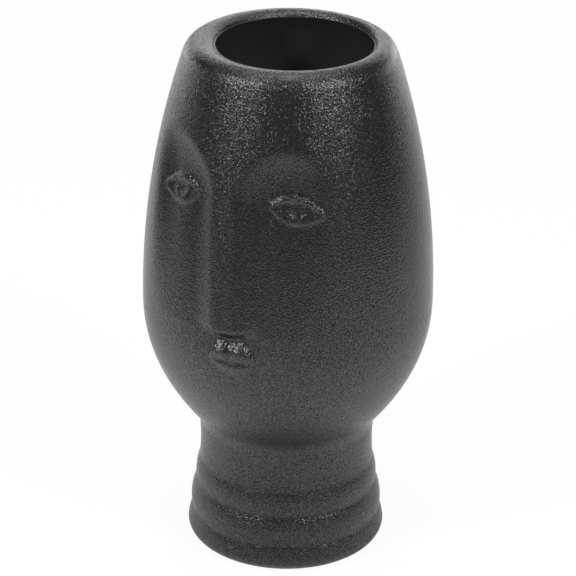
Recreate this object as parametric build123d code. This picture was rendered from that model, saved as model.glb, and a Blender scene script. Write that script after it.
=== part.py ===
from build123d import *
import math
import os

# Face vase: a slip-cast stoneware head on a banded foot, glazed inside and standing on a felt pad.
# Millimetres. The origin is on the table under the middle of the foot, +Z is up, and the face looks to -Y.

# Head: a jaw that widens from the neck to the belly, and a side that leans in to a rounded rim
HEIGHT = 220.0
BELLY_RADIUS = 59.5
BELLY_HEIGHT = 110.0
CROWN_RADIUS = 41.0  # where the side would meet the plane of the rim
RIM_ROUND = 7.5
CHIN_HEIGHT = 56.0
CHIN_RADIUS = 36.2
JAW_POWER = 2.1  # 2 is a parabola
ROOT = 4.0  # how far the head and the neck run into each other

# Neck and the three rolled bands of the foot
NECK_RADIUS = 36.4
NECK_WAIST = 0.35
FOOT_RADIUS = 41.3
FOOT_ROUND = 5.2
BAND_HEIGHT = 13.2
BAND_STEP = 1.65  # each band is this much narrower than the one below it
BAND_BULGE = 0.9

# Inside: the casting's wall, the hand-trimmed mouth a little off the axis, and the glaze
WALL = 6.0
FLOOR_THICKNESS = 7.0
FLOOR_ROUND = 6.0
THROAT_DEPTH = 26.0  # rim to where the hollow starts to draw in
EDGE_WIDTH = 3.6  # top of the rim to the edge of the mouth
EDGE_DROP = 1.55
MOUTH_SHIFT_X = 1.5
MOUTH_SHIFT_Y = 0.75
GLAZE_THICKNESS = 0.6
GLAZE_BELOW_RIM = 2.2

# Felt pad in the recess under the foot
RECESS_RADIUS = 30.0
RECESS_DEPTH = 2.6
PAD_CLEARANCE = 0.5
PAD_PROUD = 0.4

# Face: sizes along the surface. Its upper half is set from the rim and its lower half from the chin.
FACE_LEAN = 4.85  # degrees that the nose and mouth lean off the upright
BROW_DROP = 49.0  # rim to the middle of the brow arches
BROW_RADIUS = 20.3
SOCKET_DEPTH = 3.0
SOCKET_FADE = 17.0  # width over which the socket runs out towards the ear
FLANK_WIDTH = 9.5  # slope beside the nose and under the brow
FLANK_EDGE = 1.0
NOSE_HALF_WIDTH = 5.2
NOSE_HEIGHT = 3.8
NOSE_POWER = 1.6
NOSE_RISE = 61.4  # chin to the end of the nose
NOSE_UNDERSIDE = 5.0
NOSE_TIP_RADIUS = 33.0

EYE_OUTSET = 1.9  # eye to the middle of its brow arch
EYE_DROP = 2.2
EYE_HALF_LENGTH = 11.0
EYE_DROOP = 7.0  # degrees
UPPER_LID = 4.4
UPPER_LID_HEIGHT = 1.0
LOWER_LID = 5.0
LOWER_LID_HEIGHT = 0.8
LOWER_LID_INSIDE = 3.0  # width of the lower lid's gentle slope into the eye
LID_WIDTH = 1.1
IRIS_RADIUS = 3.8
IRIS_HEIGHT = 0.35
IRIS_WIDTH = 1.2

LIP_RISE = 48.7  # chin to the parting of the lips
LIP_OFFSET = 1.0  # line of the nose to the middle of the mouth
LIP_HALF_WIDTH = 11.3
LIP_CORNER_LIFT = 1.7
UPPER_LIP = 11.0
UPPER_LIP_DIP = 1.8
LOBE_OFFSET = 4.2
LOWER_LIP = 6.8
UPPER_LIP_FULLNESS = 2.1
LOWER_LIP_FULLNESS = 1.3
LIP_VALLEY = 0.15  # share of the fullness that the upper lip loses in its middle
LIP_VALLEY_WIDTH = 2.0
PARTING_DEPTH = 0.7
PARTING_WIDTH = 0.9

# Spacing of the sections and columns that the head is built up from
FACE_STEP = 1.25
PLAIN_STEP = 9.0
EDGE_OVERRUN = 1.5  # the sections run on past the mouth's edge, where the hollow cuts them off

brow_z = HEIGHT - BROW_DROP
brow_u = NOSE_HALF_WIDTH + BROW_RADIUS
nose_z = CHIN_HEIGHT + NOSE_RISE
eye_s = brow_u + EYE_OUTSET
eye_z = brow_z - EYE_DROP
lip_z = CHIN_HEIGHT + LIP_RISE
lean_z = (brow_z + nose_z) / 2
lean = math.tan(math.radians(FACE_LEAN))

side_fall = BELLY_RADIUS - CROWN_RADIUS
side_rise = HEIGHT - BELLY_HEIGHT
side_radius = (side_rise**2 + side_fall**2) / (2 * side_fall)
rim_reach = side_radius - RIM_ROUND
rim_rise = side_rise - RIM_ROUND
rim_angle = math.asin(rim_rise / rim_reach)
rim_centre = BELLY_RADIUS - side_radius + rim_reach * math.cos(rim_angle)
mouth_radius = rim_centre - EDGE_WIDTH
mouth_z = HEIGHT - EDGE_DROP

foot_bottom = PAD_PROUD
foot_top = foot_bottom + 3 * BAND_HEIGHT
recess_top = foot_bottom + RECESS_DEPTH
floor_z = recess_top + FLOOR_THICKNESS
neck_bore = NECK_RADIUS - WALL


def ease(x):
    """A smooth step from 0 to 1."""
    x = min(max(x, 0.0), 1.0)
    return x * x * (3 - 2 * x)


def rounded(x, corner):
    """A ramp up from 0 that sets off in a rounded corner."""
    return x if x > corner else max(x + corner, 0.0) ** 2 / (4 * corner)


def run_out(x):
    """A slope that is steepest at 0 and runs out level at 1."""
    return 1 - max(1 - x, 0.0) ** 2


def ridge(distance, width):
    """A rounded ridge of height 1."""
    return math.exp(-((distance / width) ** 2))


def head_radius(z):
    """Radius of the plain head: a power curve below the belly and one long arc above it."""
    if z < BELLY_HEIGHT:
        fall = (BELLY_HEIGHT - z) / (BELLY_HEIGHT - CHIN_HEIGHT)
        return BELLY_RADIUS - (BELLY_RADIUS - CHIN_RADIUS) * fall**JAW_POWER
    return BELLY_RADIUS - side_radius + math.sqrt(side_radius**2 - (z - BELLY_HEIGHT) ** 2)


def brow_and_nose(u, z):
    """Forehead and nose are one T-shaped plateau between two eye sockets that run out in the cheeks."""
    across = abs(u)
    inside = BROW_RADIUS - math.hypot(across - brow_u, max(z - brow_z, 0))
    flank = run_out(rounded(inside, FLANK_EDGE) / FLANK_WIDTH)
    depth = SOCKET_DEPTH * min(max((z - nose_z) / (eye_z - nose_z), 0), 1)
    fade = 1 - ease((across - brow_u - BROW_RADIUS + SOCKET_FADE) / SOCKET_FADE)
    sunk = depth * flank * fade
    if across > brow_u:
        return -sunk
    along = min(max((brow_z - z) / (brow_z - nose_z), 0), 1)
    tip = nose_z + across**2 / (2 * NOSE_TIP_RADIUS)
    end = ease((z - tip) / NOSE_UNDERSIDE + 0.5)
    return NOSE_HEIGHT * along**NOSE_POWER * end * (1 - flank) - sunk


def eye(s, z):
    """Two lids that meet in the corners of an almond, round the ring of the iris."""
    out = abs(s) - eye_s
    up = z - eye_z + math.tan(math.radians(EYE_DROOP)) * out
    open_share = max(1 - (out / EYE_HALF_LENGTH) ** 2, 0)
    to_upper = UPPER_LID * open_share - up
    to_lower = LOWER_LID * open_share + up
    upper = UPPER_LID_HEIGHT * ridge(to_upper, LID_WIDTH)
    lower = LOWER_LID_HEIGHT * ridge(to_lower, LOWER_LID_INSIDE if to_lower > 0 else LID_WIDTH)
    corner = ease((EYE_HALF_LENGTH + LID_WIDTH - abs(out)) / (2 * LID_WIDTH))
    iris = IRIS_HEIGHT * ridge(math.hypot(out, up) - IRIS_RADIUS, IRIS_WIDTH)
    return max(upper, lower) * corner + iris


def lips(u, z):
    """A full upper lip with a valley down its middle, over a lower lip that runs out in the chin."""
    u -= LIP_OFFSET
    across = abs(u) / LIP_HALF_WIDTH
    if across >= 1:
        return 0.0
    parting = lip_z + LIP_CORNER_LIFT * across**2
    lobe = LOBE_OFFSET / LIP_HALF_WIDTH
    if across < lobe:
        top = lip_z + UPPER_LIP - UPPER_LIP_DIP * (1 - ease(across / lobe))
    else:
        fall = math.sin(math.pi / 2 * (across - lobe) / (1 - lobe))
        top = lip_z + UPPER_LIP - (UPPER_LIP - LIP_CORNER_LIFT) * fall**2
    bottom = lip_z - LOWER_LIP + (LOWER_LIP + LIP_CORNER_LIFT) * across**2
    if not bottom < z < top:
        return 0.0
    swell = -PARTING_DEPTH * ridge(z - parting, PARTING_WIDTH)
    if z > parting:
        away = (z - parting) / (top - parting)
        valley = 1 - LIP_VALLEY * ridge(u, LIP_VALLEY_WIDTH)
        swell += UPPER_LIP_FULLNESS * valley * math.sin(math.pi * away)
    else:
        away = (parting - z) / (parting - bottom)
    return (1 - across**2) * (LOWER_LIP_FULLNESS * (1 - ease(away)) + swell)


def relief(angle, radius, z):
    """How far the face stands out from the plain head."""
    s = radius * angle
    u = s + (z - lean_z) * lean
    return brow_and_nose(u, z) + eye(s, z) + lips(u, z)


def spread(start, end, step):
    """Evenly spaced values from start up to but without end."""
    count = max(round((end - start) / step), 1)
    return [start + (end - start) * i / count for i in range(count)]


def level_curve(angles, radius, z, shift):
    """A smooth curve round the head at one height. Both ends run along the plain head's circle."""
    middle = Vector(MOUTH_SHIFT_X * shift, MOUTH_SHIFT_Y * shift, z)
    points = []
    for angle in angles:
        reach = radius + relief(angle, radius, z)
        points.append(middle + Vector(math.sin(angle), -math.cos(angle)) * reach)
    ways = [Vector(math.cos(angle), math.sin(angle)) * radius for angle in (angles[0], angles[-1])]
    return Edge.make_spline(points, tangents=ways, parameters=angles, scale=False)


def head_outline():
    """Radius, height and share of the mouth's shift, from the chin up over the rim to past the mouth."""
    rim_start = BELLY_HEIGHT + side_radius * math.sin(rim_angle)
    levels = [(head_radius(z), z, 0) for z in spread(CHIN_HEIGHT - ROOT, rim_start, FACE_STEP)]
    for turn in spread(rim_angle, math.pi / 2, FACE_STEP / RIM_ROUND):
        rise = RIM_ROUND * math.sin(turn)
        levels.append((rim_centre + RIM_ROUND * math.cos(turn), HEIGHT - RIM_ROUND + rise, 0))
    for shift in spread(0, EDGE_OVERRUN, FACE_STEP / EDGE_WIDTH) + [EDGE_OVERRUN]:
        levels.append((rim_centre - EDGE_WIDTH * shift, HEIGHT - EDGE_DROP * shift**2, shift))
    return levels


def head():
    """The head, built up from level sections: one curve across the face and one round the plain back."""
    brow_top = brow_z + BROW_RADIUS
    half_angle = (brow_u + BROW_RADIUS + lean * (brow_top - lean_z)) / head_radius(brow_top)
    front = spread(-half_angle, half_angle, FACE_STEP / BELLY_RADIUS) + [half_angle]
    back_end = 2 * math.pi - half_angle
    back = spread(half_angle, back_end, PLAIN_STEP / BELLY_RADIUS) + [back_end]
    levels = head_outline()
    sections = [Wire([level_curve(front, *level), level_curve(back, *level)]) for level in levels]
    return Solid.make_loft(sections, ruled=True)


def foot():
    """Neck and foot, turned in one profile: a rounded foot, three rolled bands and a waisted neck."""
    neck_end = (NECK_RADIUS, CHIN_HEIGHT + ROOT)
    sole_edge = (FOOT_RADIUS - FOOT_ROUND, foot_bottom)
    foot_side = (FOOT_RADIUS, foot_bottom + FOOT_ROUND)
    grooves = [(FOOT_RADIUS - BAND_STEP * i, foot_bottom + BAND_HEIGHT * i) for i in (1, 2)]
    band_ends = [foot_side, *grooves, (NECK_RADIUS, foot_top)]
    with BuildSketch(Plane.XZ) as section:
        with BuildLine():
            Polyline((0, neck_end[1]), (0, foot_bottom), sole_edge)
            RadiusArc(sole_edge, foot_side, -FOOT_ROUND)
            for lower, upper in zip(band_ends, band_ends[1:]):
                SagittaArc(lower, upper, -BAND_BULGE)
            SagittaArc(band_ends[-1], neck_end, NECK_WAIST)
            Line(neck_end, (0, neck_end[1]))
        make_face()
    return revolve(section.sketch, Axis.Z)


def inside(inset):
    """The hollow, drawn in by inset all over, which leans from its floor up to the off-centre mouth."""
    bore = neck_bore - inset
    floor = floor_z + inset
    throat_z = HEIGHT - THROAT_DEPTH
    neck = (bore, CHIN_HEIGHT)
    belly = (BELLY_RADIUS - WALL - inset, BELLY_HEIGHT)
    throat = (head_radius(throat_z) - WALL - inset, throat_z)
    mouth = (mouth_radius - inset, mouth_z)
    with BuildSketch(Plane.XZ) as section:
        with BuildLine():
            Polyline((0, HEIGHT), (0, floor), (bore - FLOOR_ROUND, floor))
            RadiusArc((bore - FLOOR_ROUND, floor), (bore, floor + FLOOR_ROUND), -FLOOR_ROUND)
            Line((bore, floor + FLOOR_ROUND), neck)
            TangentArc(belly, neck, tangent=(0, -1))
            side = TangentArc(belly, throat, tangent=(0, 1))
            TangentArc(throat, mouth, tangent=side % 1)
            Polyline(mouth, (mouth[0], HEIGHT), (0, HEIGHT))
        make_face()
    tilt_x = -math.degrees(math.atan(MOUTH_SHIFT_Y / (mouth_z - floor_z)))
    tilt_y = math.degrees(math.atan(MOUTH_SHIFT_X / (mouth_z - floor_z)))
    pivot = Pos(0, 0, floor_z)
    return pivot * Rot(tilt_x, tilt_y, 0) * pivot.inverse() * revolve(section.sketch, Axis.Z)


def vase_body():
    recess = Pos(0, 0, recess_top / 2) * Cylinder(RECESS_RADIUS, recess_top)
    return head() + (foot() - recess) - inside(0)


def glaze_lining():
    below = Pos(0, 0, (HEIGHT - GLAZE_BELOW_RIM) / 2) * Cylinder(BELLY_RADIUS, HEIGHT - GLAZE_BELOW_RIM)
    return (inside(0) & below) - inside(GLAZE_THICKNESS)


def base_pad():
    return Pos(0, 0, recess_top / 2) * Cylinder(RECESS_RADIUS - PAD_CLEARANCE, recess_top)


os.makedirs("parts", exist_ok=True)
for piece in (vase_body, glaze_lining, base_pad):
    export_step(piece(), f"parts/{piece.__name__}.step")
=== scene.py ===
import math

import bpy
from mathutils import Matrix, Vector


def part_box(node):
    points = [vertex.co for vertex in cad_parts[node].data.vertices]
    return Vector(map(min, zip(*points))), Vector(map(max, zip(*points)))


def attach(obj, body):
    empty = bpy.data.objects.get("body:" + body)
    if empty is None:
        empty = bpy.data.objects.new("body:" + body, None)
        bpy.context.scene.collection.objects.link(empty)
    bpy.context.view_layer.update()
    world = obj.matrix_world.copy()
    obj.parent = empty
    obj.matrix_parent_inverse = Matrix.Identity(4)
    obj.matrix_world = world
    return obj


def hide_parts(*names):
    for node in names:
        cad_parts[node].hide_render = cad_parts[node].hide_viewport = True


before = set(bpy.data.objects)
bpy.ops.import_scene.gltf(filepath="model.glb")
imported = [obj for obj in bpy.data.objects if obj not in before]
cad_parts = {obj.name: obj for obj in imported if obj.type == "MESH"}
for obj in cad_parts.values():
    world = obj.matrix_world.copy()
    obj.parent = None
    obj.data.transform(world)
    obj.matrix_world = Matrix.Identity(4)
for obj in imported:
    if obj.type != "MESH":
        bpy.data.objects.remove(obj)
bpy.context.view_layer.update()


# Vase body.
# One slip-cast stoneware piece: a head with a face in relief, on a neck and a foot of three rolled bands.
# The outside and the rim are sprayed with a matt black coat that dries to an orange-peel grain.

mm = 0.001

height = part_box("vase_body")[1][2] / mm
belly_radius = 59.5
belly_height = 110.0
crown_radius = 41.0
rim_round = 7.5
chin_height = 56.0
chin_radius = 36.2
jaw_power = 2.1

neck_radius = 36.4
neck_waist = 0.35
foot_radius = 41.3
foot_round = 5.2
# Radius and height of the crease over each band, from the foot up, and how far each band swells out.
band_tops = ((39.6, 12.1), (37.75, 25.3), (neck_radius, 35.6))
band_bulges = (0.2, 1.1, 0.65)
jaw_fillet = 5.0
foot_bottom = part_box("vase_body")[0][2] / mm

wall = 6.0
floor_thickness = 7.0
floor_round = 6.0
throat_depth = 26.0
edge_width = 3.6
edge_drop = 1.55
edge_round = 0.4
mouth_shift_x = 1.5
mouth_shift_y = 0.75
recess_radius = 30.0
recess_depth = 2.6
floor_z = foot_bottom + recess_depth + floor_thickness

# The side above the belly is one arc. The rim's rounding touches it where it has turned by rim_angle.
side_fall = belly_radius - crown_radius
side_rise = height - belly_height
side_radius = (side_rise**2 + side_fall**2) / (2 * side_fall)
rim_reach = side_radius - rim_round
rim_angle = math.asin((side_rise - rim_round) / rim_reach)
rim_centre = belly_radius - side_radius + rim_reach * math.cos(rim_angle)
rim_start = belly_height + side_radius * math.sin(rim_angle)
mouth_radius = rim_centre - edge_width
mouth_z = height - edge_drop


def spread(start, end, count):
    """count evenly spaced values from start up to but without end."""
    return [start + (end - start) * i / count for i in range(count)]


def head_radius(z):
    """Radius of the plain head: a power curve below the belly and one long arc above it."""
    if z < belly_height:
        fall = (belly_height - z) / (belly_height - chin_height)
        return belly_radius - (belly_radius - chin_radius) * fall**jaw_power
    return belly_radius - side_radius + math.sqrt(side_radius**2 - (z - belly_height) ** 2)


def bowed(lower, upper, bulge, count):
    """Points along a shallow arc from lower up to but without upper, which swells outwards by bulge."""
    points = []
    for t in spread(0, 1, count):
        swell = 4 * bulge * t * (1 - t)
        points.append((lower[0] + (upper[0] - lower[0]) * t + swell, lower[1] + (upper[1] - lower[1]) * t))
    return points


def fillet(lower, corner, upper, count):
    """Points along the curve that rounds a corner off, from lower up to but without upper."""
    points = []
    for t in spread(0, 1, count):
        shares = ((1 - t) ** 2, 2 * t * (1 - t), t**2)
        points.append([sum(s * p[i] for s, p in zip(shares, (lower, corner, upper))) for i in (0, 1)])
    return points


def arc(start, heading, end, count):
    """Points along the arc that leaves start under heading, in radians from +r, up to but without end."""
    away = math.atan2(end[1] - start[1], end[0] - start[0])
    bend = 2 * (away - heading)
    radius = math.dist(start, end) / (2 * math.sin(bend / 2))
    points = []
    for turn in spread(0, bend, count):
        across = radius * (math.sin(heading + turn) - math.sin(heading))
        up = radius * (math.cos(heading) - math.cos(heading + turn))
        points.append((start[0] + across, start[1] + up))
    return points


def hollow_profile(inset, top):
    """The hollow from the middle of its floor up the neck, jaw, side and throat to top, drawn in by inset."""
    bore = neck_radius - wall - inset
    bottom = floor_z + inset
    neck = (bore, chin_height)
    belly = (belly_radius - wall - inset, belly_height)
    throat_z = height - throat_depth
    throat = (head_radius(throat_z) - wall - inset, throat_z)
    throat_lean = math.pi / 2 + math.asin((throat_z - belly_height) / side_radius)
    floor_edge = (bore - floor_round, bottom)
    wall_foot = (bore, bottom + floor_round)
    mouth = (mouth_radius - inset, top)
    points = [(0, bottom)]
    points += arc(floor_edge, 0, wall_foot, count=6) + [wall_foot]
    points += [neck] + arc(belly, -math.pi / 2, neck, count=10)[:0:-1]
    points += arc(belly, math.pi / 2, throat, count=14)
    points += arc(throat, throat_lean, mouth, count=8) + [mouth]
    return points


weld_distance = 0.002 * mm


def lathe(name, points, steps):
    """A vertex is extruded along half of the profile, which is then spun once round the upright axis."""
    bpy.ops.object.select_all(action="DESELECT")
    bpy.ops.mesh.primitive_plane_add(size=mm)
    turned = bpy.context.object
    turned.name = name
    bpy.ops.object.mode_set(mode="EDIT")
    bpy.ops.mesh.merge(type="CENTER")
    bpy.ops.transform.translate(value=(0, -points[0][0] * mm, points[0][1] * mm))
    for here, there in zip(points, points[1:]):
        step = (0, (here[0] - there[0]) * mm, (there[1] - here[1]) * mm)
        bpy.ops.mesh.extrude_vertices_move(TRANSFORM_OT_translate={"value": step})
    bpy.ops.mesh.select_all(action="SELECT")
    bpy.ops.mesh.spin(steps=steps, angle=2 * math.pi, center=(0, 0, 0), axis=(0, 0, 1))
    bpy.ops.mesh.select_all(action="SELECT")
    bpy.ops.mesh.remove_doubles(threshold=weld_distance)
    bpy.ops.mesh.normals_make_consistent(inside=False)
    bpy.ops.object.mode_set(mode="OBJECT")
    return turned


# The head's rows of vertices: up to each height they lie this far apart, closest at the lips and the eyes.
head_rows = ((94.0, 2.0), (122.0, 0.55), (156.0, 1.0), (196.0, 0.6))


def body_profile():
    """The closed half section of the casting: recess, sole, foot, neck, head, rim, mouth and the hollow."""
    recess_top = foot_bottom + recess_depth
    points = [(0, recess_top), (recess_radius, recess_top), (recess_radius, foot_bottom)]
    for turn in spread(0, math.pi / 2, count=8):
        across = foot_radius - foot_round + foot_round * math.sin(turn)
        points.append((across, foot_bottom + foot_round * (1 - math.cos(turn))))
    lower = (foot_radius, foot_bottom + foot_round)
    for upper, bulge in zip(band_tops, band_bulges):
        points += bowed(lower, upper, bulge, count=12)
        lower = upper
    neck_top = (chin_radius, chin_height - jaw_fillet)
    jaw_z = chin_height + jaw_fillet
    points += bowed(lower, neck_top, -neck_waist, count=8)
    points += fillet(neck_top, (chin_radius, chin_height), (head_radius(jaw_z), jaw_z), count=8)
    bottom = jaw_z
    for top, step in head_rows:
        points += [(head_radius(z), z) for z in spread(bottom, top, round((top - bottom) / step))]
        bottom = top
    points += [(head_radius(z), z) for z in spread(bottom, rim_start, count=10)]
    for turn in spread(rim_angle, math.pi / 2, count=14):
        across = rim_centre + rim_round * math.cos(turn)
        points.append((across, height - rim_round + rim_round * math.sin(turn)))
    edge_end = 1 - edge_round / edge_width
    for share in spread(0, edge_end, count=8) + [edge_end]:
        points.append((rim_centre - edge_width * share, height - edge_drop * share**2))
    return points + hollow_profile(0, mouth_z - edge_round)[::-1]


# The face's sizes run along the surface: s across and z up, and u from the leaning middle line of the nose.
face_lean = 4.85
brow_drop = 49.0
brow_radius = 20.3
socket_depth = 3.6
socket_fade = 17.0
flank_width = 11.0
brow_width = 18.0
flank_edge = 2.5
nose_half_width = 5.2
nose_height = 3.8
nose_power = 1.6
nose_rise = 61.4
nose_underside = 5.0
nose_tip_radius = 33.0
eye_outset = 1.9
eye_drop = 2.2
eye_half_length = 11.0
eye_droop = 7.0
upper_lid = 4.4
upper_lid_height = 1.0
lower_lid = 5.0
lower_lid_height = 0.6
lower_lid_inside = 3.0
lid_width = 1.1
iris_radius = 3.8
iris_height = 0.35
iris_width = 1.2
lip_rise = 48.7
lip_offset = 1.0
lip_half_width = 11.3
lip_corner_lift = 1.7
upper_lip = 11.0
upper_lip_dip = 1.0
lobe_offset = 5.5
lower_lip = 6.8
upper_lip_fullness = 2.1
lower_lip_fullness = 1.3
lip_valley = 0.35
lip_valley_width = 1.6
parting_depth = 0.7
parting_width = 0.9

brow_z = height - brow_drop
brow_u = nose_half_width + brow_radius
nose_z = chin_height + nose_rise
eye_s = brow_u + eye_outset
eye_z = brow_z - eye_drop
lip_z = chin_height + lip_rise
lean_z = (brow_z + nose_z) / 2


def ease(x):
    """A smooth step from 0 to 1."""
    x = min(max(x, 0.0), 1.0)
    return x * x * (3 - 2 * x)


def rounded(x, corner):
    """A ramp up from 0 that sets off in a rounded corner."""
    return x if x > corner else max(x + corner, 0.0) ** 2 / (4 * corner)


def run_out(x):
    """A slope that is steepest at 0 and runs out level at 1."""
    return 1 - max(1 - x, 0.0) ** 2


def ridge(distance, width):
    """A rounded ridge of height 1."""
    return math.exp(-((distance / width) ** 2))


def brow_and_nose(u, z):
    """Forehead and nose are one T-shaped plateau between two eye sockets that run out in the cheeks."""
    across = abs(u)
    above = max(z - brow_z, 0)
    reach = math.hypot(across - brow_u, above)
    upward = above / max(reach, 1)
    width = flank_width + (brow_width - flank_width) * upward
    flank = run_out(rounded(brow_radius - reach, flank_edge) / width)
    depth = socket_depth * min(max((z - nose_z) / (eye_z - nose_z), 0), 1)
    fade = 1 - ease((across - brow_u - brow_radius + socket_fade) / socket_fade)
    sunk = depth * flank * fade
    if across > brow_u:
        return -sunk
    along = min(max((brow_z - z) / (brow_z - nose_z), 0), 1)
    tip = nose_z + across**2 / (2 * nose_tip_radius)
    end = ease((z - tip) / nose_underside + 0.5)
    return nose_height * along**nose_power * end * (1 - flank) - sunk


def eye(s, z):
    """Two lids that meet in the corners of an almond, round the ring of the iris."""
    out = abs(s) - eye_s
    up = z - eye_z + math.tan(math.radians(eye_droop)) * out
    open_share = max(1 - (out / eye_half_length) ** 2, 0)
    to_upper = upper_lid * open_share - up
    to_lower = lower_lid * open_share + up
    upper = upper_lid_height * ridge(to_upper, lid_width)
    lower = lower_lid_height * ridge(to_lower, lower_lid_inside if to_lower > 0 else lid_width)
    corner = ease((eye_half_length + lid_width - abs(out)) / (2 * lid_width))
    iris = iris_height * ridge(math.hypot(out, up) - iris_radius, iris_width)
    return max(upper, lower) * corner + iris


def lips(u, z):
    """A full upper lip with a valley down its middle, over a lower lip that runs out in the chin."""
    u -= lip_offset
    across = abs(u) / lip_half_width
    if across >= 1:
        return 0.0
    parting = lip_z + lip_corner_lift * across**2
    lobe = lobe_offset / lip_half_width
    if across < lobe:
        top = lip_z + upper_lip - upper_lip_dip * (1 - ease(across / lobe))
    else:
        fall = math.sin(math.pi / 2 * (across - lobe) / (1 - lobe))
        top = lip_z + upper_lip - (upper_lip - lip_corner_lift) * fall**2
    bottom = lip_z - lower_lip + (lower_lip + lip_corner_lift) * across**2
    if not bottom < z < top:
        return 0.0
    swell = -parting_depth * ridge(z - parting, parting_width)
    if z > parting:
        away = (z - parting) / (top - parting)
        valley = 1 - lip_valley * ridge(u, lip_valley_width)
        swell += upper_lip_fullness * valley * math.sin(math.pi * away) ** 2
    else:
        away = (parting - z) / (parting - bottom)
    return (1 - across**4) * (lower_lip_fullness * (1 - ease(away)) + swell)


def relief(angle, radius, z):
    """How far the face stands out from the plain head."""
    s = radius * angle
    u = s + (z - lean_z) * math.tan(math.radians(face_lean))
    return brow_and_nose(u, z) + eye(s, z) + lips(u, z)


def core_lean(radius, z):
    """Share of the mouth's shift at a point: the hollow leans from its floor up, and the outside doesn't."""
    lift = (z - floor_z) / (mouth_z - floor_z)
    if z > rim_start:
        return lift * min(max((rim_centre - radius) / edge_width, 0), 1)
    return max(lift, 0) if radius < head_radius(max(z, chin_height)) - wall / 2 else 0


# The columns of vertices are gathered towards the face, which needs them most. Then the hollow leans to the
# mouth, and the face is raised from the plain head.
front_gather = 0.6
smooth_angle = math.radians(35)
vase = lathe("Vase", body_profile(), steps=300)
for vertex in vase.data.vertices:
    x, y, z = vertex.co / mm
    radius = math.hypot(x, y)
    angle = math.atan2(x, -y)
    angle -= front_gather * math.sin(angle)
    shift = core_lean(radius, z)
    if chin_height < z < rim_start and radius > head_radius(z) - wall / 2:
        radius += relief(angle, radius, z)
    x = radius * math.sin(angle) + mouth_shift_x * shift
    y = -radius * math.cos(angle) + mouth_shift_y * shift
    vertex.co = (x * mm, y * mm, z * mm)
bpy.ops.object.shade_smooth_by_angle(angle=smooth_angle)


def linear(hex_colour):
    """The linear RGBA of an sRGB hex colour."""
    levels = [int(hex_colour[i : i + 2], 16) / 255 for i in (1, 3, 5)]
    return [v / 12.92 if v <= 0.04045 else ((v + 0.055) / 1.055) ** 2.4 for v in levels] + [1.0]


def add_node(tree, kind, settings, links):
    """Adds a node, sets its sockets and attributes, and links other nodes' outputs to its sockets."""
    node = tree.nodes.new(kind)
    for name, value in settings.items():
        if isinstance(name, int) or name in node.inputs:
            node.inputs[name].default_value = value
        else:
            setattr(node, name, value)
    for name, source in links.items():
        tree.links.new(source, node.inputs[name])
    return node


# Stoneware under a sprayed texture coat: neutral charcoal, a dull sheen that grows towards the edges, and a
# fine grain of flattened drops that breaks every highlight into sparks. Their hollows shine less: painted
# shade.
coat_colour = "#1b1b1b"
coat_roughness = 0.2
coat_ior = 1.5
grain_pitch = 0.7 * mm
grain_height = 0.3 * mm
noise_per_pitch = 1.1
noise_low, noise_high = 0.3, 0.7
shaded_hollow_shine, drop_top_shine = 0.15, 0.85
coat = bpy.data.materials.new("Stoneware, sprayed black texture coat")
coat.use_nodes = True
tree = coat.node_tree
shader = tree.nodes["Principled BSDF"]
shader.inputs["Base Color"].default_value = linear(coat_colour)
shader.inputs["Roughness"].default_value = coat_roughness
shader.inputs["IOR"].default_value = coat_ior
place = add_node(tree, "ShaderNodeTexCoord", {}, {})
drops = add_node(
    tree,
    "ShaderNodeTexNoise",
    {"Scale": noise_per_pitch / grain_pitch, "Detail": 1.0, "Roughness": 0.5},
    {"Vector": place.outputs["Object"]},
)
bump = add_node(
    tree,
    "ShaderNodeBump",
    {"Strength": 1.0, "Distance": grain_height},
    {"Height": drops.outputs["Fac"]},
)
tree.links.new(bump.outputs["Normal"], shader.inputs["Normal"])
# Painted shade: the shine drops to its lowest in the grain's hollows, which darkens them as if shade lay
# there.
shine_with_painted_shade = add_node(
    tree,
    "ShaderNodeMapRange",
    {"From Min": noise_low, "From Max": noise_high, "To Min": shaded_hollow_shine, "To Max": drop_top_shine},
    {"Value": drops.outputs["Fac"]},
)
tree.links.new(shine_with_painted_shade.outputs["Result"], shader.inputs["Specular IOR Level"])
vase.data.materials.append(coat)
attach(vase, "root")
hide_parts("vase_body")


# Glaze lining.
# The black liner glaze that is poured into the casting, swilled round and poured out, and then fired on.
# It is smooth, with no grain, and ends in a clean line under the edge of the mouth.
glaze_thickness = 0.6
glaze_top = height - 2.0
glaze_back = hollow_profile(0, glaze_top)
glaze_face = hollow_profile(glaze_thickness, glaze_top)
lining = lathe("Lining", glaze_back + glaze_face[::-1], steps=160)
for vertex in lining.data.vertices:
    lift = (vertex.co.z / mm - floor_z) / (mouth_z - floor_z)
    vertex.co.x += mouth_shift_x * lift * mm
    vertex.co.y += mouth_shift_y * lift * mm
bpy.ops.object.shade_smooth_by_angle(angle=smooth_angle)

# Black liner glaze: a smooth, very dark grey with a soft satin shine. The shade of the hollow turns it black.
glaze_colour = "#303030"
glaze_roughness = 0.4
glaze_ior = 1.45
glaze = bpy.data.materials.new("Black liner glaze, satin")
glaze.use_nodes = True
shader = glaze.node_tree.nodes["Principled BSDF"]
shader.inputs["Base Color"].default_value = linear(glaze_colour)
shader.inputs["Roughness"].default_value = glaze_roughness
shader.inputs["IOR"].default_value = glaze_ior
lining.data.materials.append(glaze)
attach(lining, "root")
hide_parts("glaze_lining")


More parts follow.
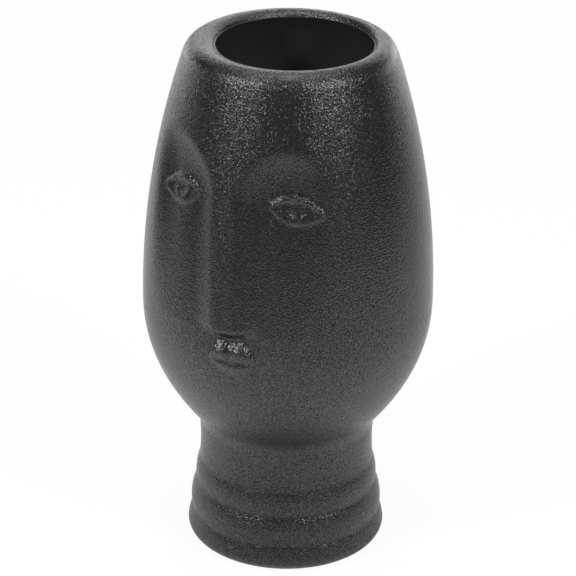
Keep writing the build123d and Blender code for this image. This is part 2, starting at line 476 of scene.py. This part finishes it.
# Base pad.
# A die-cut disc of pressed wool felt, glued into the recess under the foot.
# It stands a little proud of the clay, so the vase rests on it and doesn't scratch a table.
pad_low, pad_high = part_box("base_pad")
pad_edge = 0.5 * mm
facing_down = -0.9
bpy.ops.object.select_all(action="DESELECT")
bpy.ops.mesh.primitive_cylinder_add(
    vertices=128,
    radius=(pad_high[0] - pad_low[0]) / 2,
    depth=pad_high[2] - pad_low[2],
    location=(0, 0, (pad_low[2] + pad_high[2]) / 2),
)
pad = bpy.context.object
pad.name = "Pad"
bpy.ops.object.transform_apply(location=True, rotation=False, scale=False)
bpy.ops.object.mode_set(mode="EDIT")
bpy.ops.mesh.select_mode(type="FACE")
bpy.ops.mesh.select_all(action="DESELECT")
bpy.ops.object.mode_set(mode="OBJECT")
for face in pad.data.polygons:
    face.select = face.normal.z < facing_down
bpy.ops.object.mode_set(mode="EDIT")
bpy.ops.mesh.inset(thickness=pad_edge)
bpy.ops.mesh.bevel(offset=pad_edge / 2, segments=2)
bpy.ops.object.mode_set(mode="OBJECT")
bpy.ops.object.shade_smooth_by_angle(angle=smooth_angle)

# Pressed wool felt: soft black, with no shine, and matted fibres that show as a faint mottle.
felt_dark, felt_light = "#242424", "#3c3c3c"
felt_roughness = 0.95
felt_sheen = 0.3
fibre_spacing = 0.7 * mm
nap_height = 0.3 * mm
felt = bpy.data.materials.new("Pressed wool felt, black")
felt.use_nodes = True
tree = felt.node_tree
shader = tree.nodes["Principled BSDF"]
shader.inputs["Roughness"].default_value = felt_roughness
shader.inputs["Sheen Weight"].default_value = felt_sheen
place = add_node(tree, "ShaderNodeTexCoord", {}, {})
fibres = add_node(
    tree,
    "ShaderNodeTexNoise",
    {"Scale": 1 / fibre_spacing, "Detail": 3.0, "Distortion": 1.5},
    {"Vector": place.outputs["Object"]},
)
mottle = add_node(tree, "ShaderNodeValToRGB", {}, {"Fac": fibres.outputs["Fac"]})
mottle.color_ramp.elements[0].color = linear(felt_dark)
mottle.color_ramp.elements[1].color = linear(felt_light)
tree.links.new(mottle.outputs["Color"], shader.inputs["Base Color"])
nap = add_node(
    tree,
    "ShaderNodeBump",
    {"Strength": 0.6, "Distance": nap_height},
    {"Height": fibres.outputs["Fac"]},
)
tree.links.new(nap.outputs["Normal"], shader.inputs["Normal"])
pad.data.materials.append(felt)
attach(pad, "root")
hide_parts("base_pad")


# Studio.
# A sheet of white paper, which the camera sees as plain white, with the vase's own soft shadow on it.
# Two soft boxes light the face, a lamp hangs over the rim, and three panels behind the vase edge its outline.
floor_width = 1.1
floor_length = 2.0
floor_front = 0.6
floor_white = 0.94
paper_colour = "#f2f2f2"
paper_roughness = 0.9
plain_white = "#ffffff"
camera_azimuth = 25.6
towards_camera = (math.sin(math.radians(camera_azimuth)), -math.cos(math.radians(camera_azimuth)))
bpy.ops.object.select_all(action="DESELECT")
bpy.ops.mesh.primitive_plane_add(
    size=1,
    location=[(floor_front - floor_length / 2) * part for part in towards_camera] + [0],
    rotation=(0, 0, math.radians(camera_azimuth)),
)
floor = bpy.context.object
floor.name = "Floor"
floor.scale = (floor_width, floor_length, 1)
bpy.ops.object.transform_apply(location=True, rotation=True, scale=True)

# Matt white paper: it has no shine of its own, and sends the light back up at the vase.
paper = bpy.data.materials.new("White paper, matt")
paper.use_nodes = True
tree = paper.node_tree
shader = tree.nodes["Principled BSDF"]
shader.inputs["Base Color"].default_value = linear(paper_colour)
shader.inputs["Roughness"].default_value = paper_roughness
shader.inputs["Specular IOR Level"].default_value = 0.0
white = add_node(tree, "ShaderNodeEmission", {"Color": linear(plain_white), "Strength": 1.0}, {})
rays = add_node(tree, "ShaderNodeLightPath", {}, {})
share = add_node(
    tree,
    "ShaderNodeMath",
    {"operation": "MULTIPLY", 1: floor_white},
    {0: rays.outputs["Is Camera Ray"]},
)
seen = add_node(
    tree,
    "ShaderNodeMixShader",
    {},
    {"Fac": share.outputs[0], 1: shader.outputs["BSDF"], 2: white.outputs["Emission"]},
)
tree.links.new(seen.outputs["Shader"], tree.nodes["Material Output"].inputs["Surface"])
floor.data.materials.append(paper)

# The room is dim, so that the lamps draw the form, and only the camera sees it as white.
room_level = 0.1
world = bpy.data.worlds.new("Dim room, white to the camera")
world.use_nodes = True
bpy.context.scene.world = world
tree = world.node_tree
rays = add_node(tree, "ShaderNodeLightPath", {}, {})
level = add_node(
    tree,
    "ShaderNodeMath",
    {"operation": "MAXIMUM", 1: room_level},
    {0: rays.outputs["Is Camera Ray"]},
)
backdrop = tree.nodes["Background"]
backdrop.inputs["Color"].default_value = linear(plain_white)
tree.links.new(level.outputs[0], backdrop.inputs["Strength"])

# The lamps all face the vase's middle. The columns: name, degrees round from the camera and up from level,
# distance, width and height in metres, and watts.
vase_middle = height / 2 * mm
for name, turn, rise, distance, width, tall, power in (
    ("Soft box left", -52, 37, 1.3, 0.3, 0.4, 12.5),
    ("Soft box right", 46, 37, 1.3, 0.3, 0.4, 11.5),
    ("Left panel", -138, 3, 1.3, 1.1, 0.35, 3.2),
    ("Right panel", 145, 3, 1.3, 0.85, 0.35, 3.2),
    ("Overhead light", 180, 84, 0.5, 0.3, 0.3, 1.1),
    ("Back panel", 180, 18, 1.3, 1.2, 0.5, 4.5),
):
    azimuth = math.radians(camera_azimuth + turn)
    elevation = math.radians(rise)
    bpy.ops.object.light_add(type="AREA")
    lamp = bpy.context.object
    lamp.name = name
    lamp.data.shape = "RECTANGLE"
    lamp.data.size = width
    lamp.data.size_y = tall
    lamp.data.energy = power
    reach = distance * math.cos(elevation)
    lamp.location = (
        reach * math.sin(azimuth),
        -reach * math.cos(azimuth),
        vase_middle + distance * math.sin(elevation),
    )
    lamp.rotation_euler = (math.pi / 2 - elevation, 0, azimuth)


# Camera.
# Placed by fitting the outline of the vase in the photograph.
# It has a long lens, stands a metre away and well above the rim, and looks down on the vase.
camera_distance = 1.0338
camera_height = 0.5992
camera_pitch = 25.249
camera_roll = 0.627
camera_lens = 174.04
camera_sensor = 36
bpy.ops.object.camera_add()
camera = bpy.context.object
camera.data.lens = camera_lens
camera.data.sensor_width = camera_sensor
azimuth = math.radians(camera_azimuth)
camera.location = [camera_distance * part for part in towards_camera] + [camera_height]
turn = Matrix.Rotation(azimuth, 3, "Z")
tilt = Matrix.Rotation(math.radians(90 - camera_pitch), 3, "X")
roll = Matrix.Rotation(math.radians(camera_roll), 3, "Z")
camera.rotation_euler = (turn @ tilt @ roll).to_euler()
bpy.context.scene.camera = camera
bpy.context.scene.view_settings.view_transform = "Standard"
